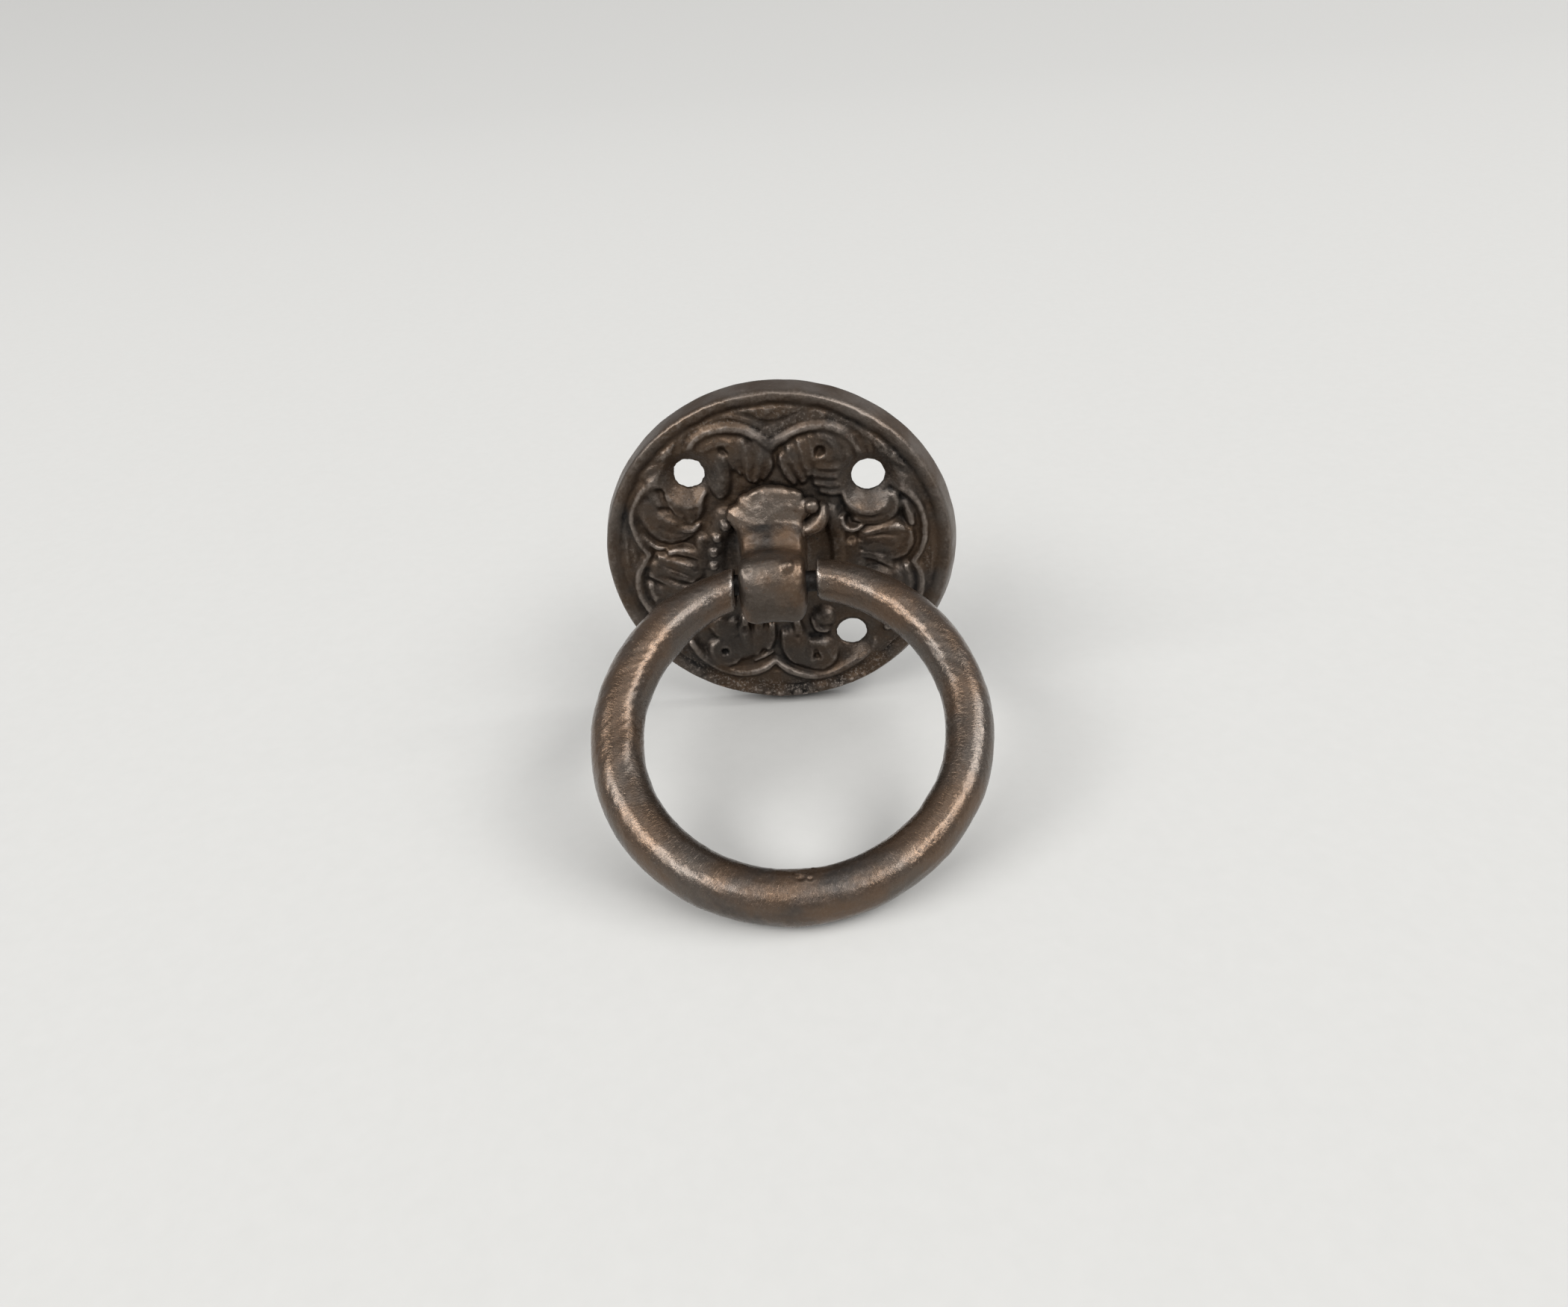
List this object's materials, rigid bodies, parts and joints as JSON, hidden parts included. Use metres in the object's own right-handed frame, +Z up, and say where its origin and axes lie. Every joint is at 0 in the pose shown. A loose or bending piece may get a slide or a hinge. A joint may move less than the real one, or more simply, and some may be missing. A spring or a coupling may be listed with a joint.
{
  "type": "door knocker",
  "caption": "Ring door knocker: a heavy round ring swings on a pin in a lug riveted through a round rosette plate with scalloped leaf relief and screw holes.",
  "frame": {"origin": "centre of the plate's back face, which lies on the door", "axes": "+Y into the door, +Z up, +X to the right of someone facing the door; the hinge axis lies along X"},
  "size_m": [0.0724, 0.0727, 0.07],
  "materials": {
    "plate_bronze": "dark oil-rubbed bronze patina, near black in the recesses, worn brown on the high spots",
    "lug_bronze": "oil-rubbed bronze, rubbed pale tan on its top and front",
    "ring_bronze": "oil-rubbed bronze with a fine hammered casting skin, polished by hands along its crown",
    "pin_steel": "blackened steel rod"
  },
  "bodies": {
    "plate": {"rosette_plate": "plate_bronze", "ring_lug": "lug_bronze"},
    "ring": {"pull_ring": "ring_bronze", "pivot_pin": "pin_steel"}
  },
  "joints": [
    {"name": "ring_swing", "type": "hinge", "parent": "plate", "child": "ring", "pos_m": [0, -0.0144, 0], "axis": [-1, 0, 0], "range_deg": [-69.5, 127.5]}
  ]
}
